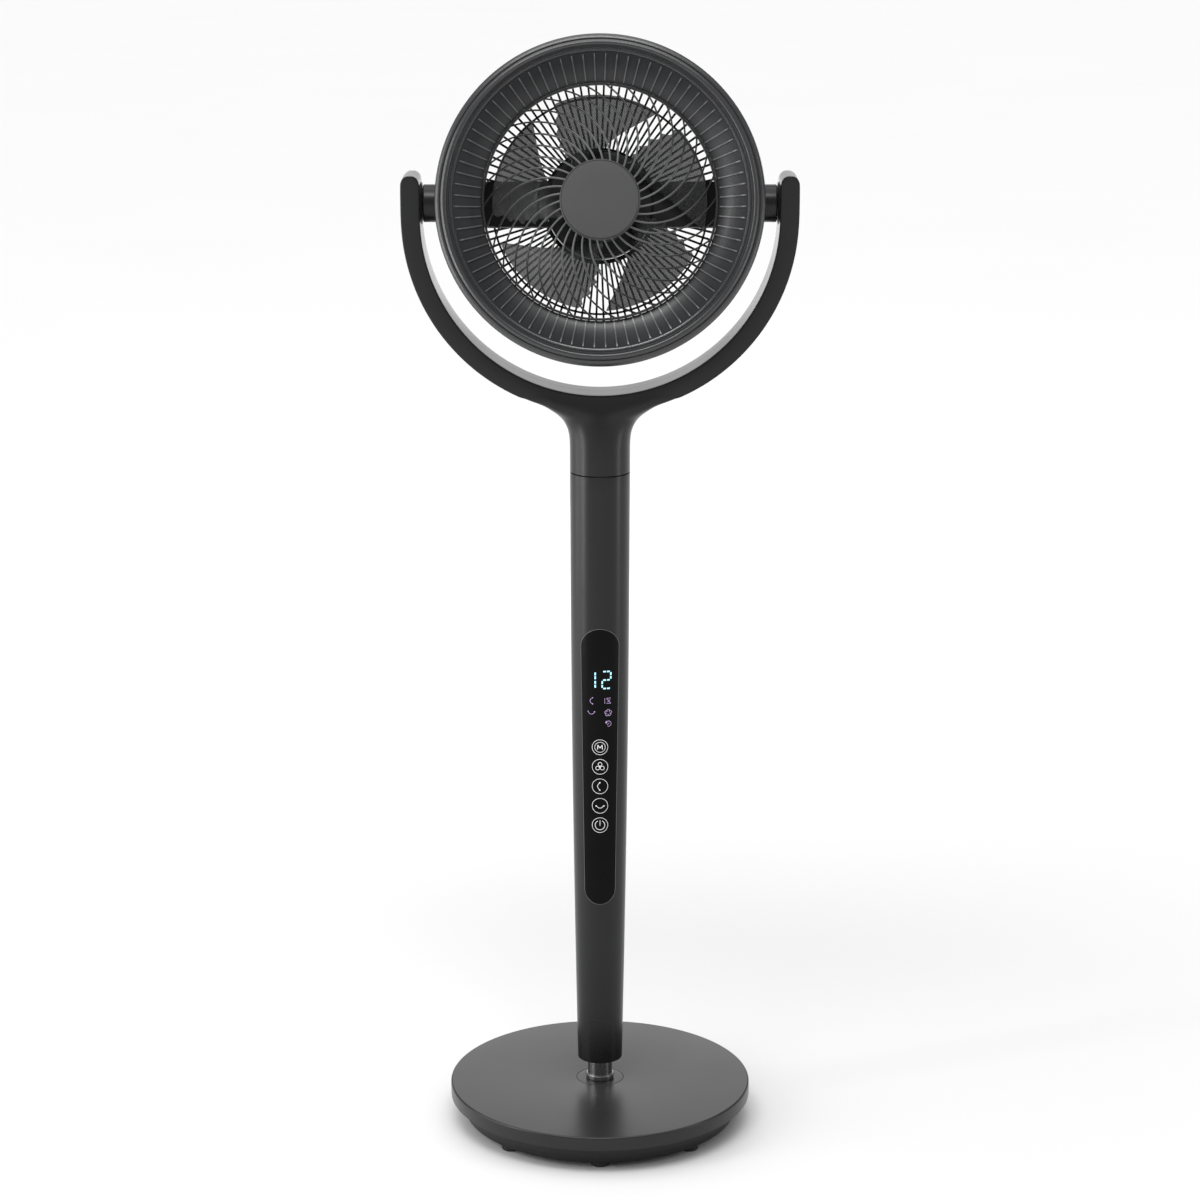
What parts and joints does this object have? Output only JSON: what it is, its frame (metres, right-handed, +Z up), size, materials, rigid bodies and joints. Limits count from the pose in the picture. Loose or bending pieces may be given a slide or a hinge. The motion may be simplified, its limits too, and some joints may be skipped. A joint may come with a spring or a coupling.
{
  "type": "pedestal fan",
  "caption": "Pedestal fan with a round weighted base, tapered column with touch panel, swivelling U yoke and a tilting round head with spiral grille.",
  "frame": {"origin": "centre of the base on the floor", "axes": "+Z up along the column, the fan blows towards -Y, +X to the right as seen from the front"},
  "size_m": [0.3846, 0.31, 1.114],
  "materials": {
    "satin_charcoal": "satin, fine moulded texture",
    "hub_grey": "satin mid-grey",
    "blade_grey": "smoky satin",
    "black_plastic": "satin black",
    "panel_gloss": "polished black acrylic",
    "white_nylon": "natural nylon",
    "black_rubber": "matt rubber",
    "brushed_steel": "brushed steel",
    "cast_iron": "rough cast",
    "circuit_board": "green solder mask",
    "copper_core": "enamelled winding and core"
  },
  "bodies": {
    "base": {"base_cover": "satin_charcoal", "base_pan": "black_plastic", "ballast_plate": "cast_iron", "pole_socket": "satin_charcoal", "pole_nut": "brushed_steel", "power_inlet": "black_plastic", "pole": "brushed_steel", "pole_collar": "brushed_steel", "column_shell": "satin_charcoal", "column_bush_lower": "black_plastic", "column_bush_upper": "black_plastic", "touch_panel": "panel_gloss", "display_module": "black_plastic", "control_board": "circuit_board", "wiring_loom": "black_rubber", "swivel_seat": "black_plastic", "thrust_washer": "white_nylon", "swivel_gear": "white_nylon", "retaining_nut": "brushed_steel", "foot_1": "black_rubber", "foot_2": "black_rubber", "foot_3": "black_rubber", "foot_4": "black_rubber", "foot_5": "black_rubber", "foot_6": "black_rubber", "foot_7": "black_rubber", "foot_8": "black_rubber"},
    "yoke": {"yoke_front_shell": "satin_charcoal", "yoke_rear_shell": "satin_charcoal", "neck_floor": "black_plastic", "drive_bracket": "brushed_steel", "swivel_drive": "brushed_steel", "tilt_bush_left": "white_nylon", "tilt_bush_right": "white_nylon", "tilt_shaft_socket": "white_nylon", "tilt_shaft": "brushed_steel"},
    "pinion": {"swivel_pinion": "white_nylon", "pinion_shaft": "brushed_steel"},
    "head": {"front_bezel": "satin_charcoal", "dish_ring": "satin_charcoal", "rear_shell": "satin_charcoal", "front_grille": "satin_charcoal", "hub_cap": "hub_grey", "rear_grille": "black_plastic", "pivot_boss_left": "satin_charcoal", "pivot_boss_right": "satin_charcoal", "tilt_drive": "brushed_steel", "motor_housing": "black_plastic", "motor_cover": "black_plastic", "bearing_front": "brushed_steel", "bearing_rear": "brushed_steel", "stator": "copper_core", "cross_beam_left": "black_plastic", "cross_beam_right": "black_plastic"},
    "impeller": {"impeller": "blade_grey", "impeller_nut": "black_plastic", "motor_shaft": "brushed_steel", "rotor": "brushed_steel"}
  },
  "joints": [
    {"name": "yoke_swivel", "type": "hinge", "parent": "base", "child": "yoke", "pos_m": [0, 0, 0.685], "axis": [0, 0, 1], "range_deg": [-45, 45]},
    {"name": "pinion_spin", "type": "hinge", "parent": "yoke", "child": "pinion", "pos_m": [0, 0.0168, 0.69], "axis": [0, 0, 1], "range_deg": [-112.5, 112.5]},
    {"name": "head_tilt", "type": "hinge", "parent": "yoke", "child": "head", "pos_m": [0, 0, 0.9506], "axis": [-1, 0, 0], "range_deg": [-26, 79]},
    {"name": "impeller_spin", "type": "hinge", "parent": "head", "child": "impeller", "pos_m": [0, 0, 0.9506], "axis": [0, -0.9816, 0.1908], "continuous": true}
  ],
  "couplings": [
    {"joint": "pinion_spin", "follows": "yoke_swivel", "ratio": 2.5}
  ]
}
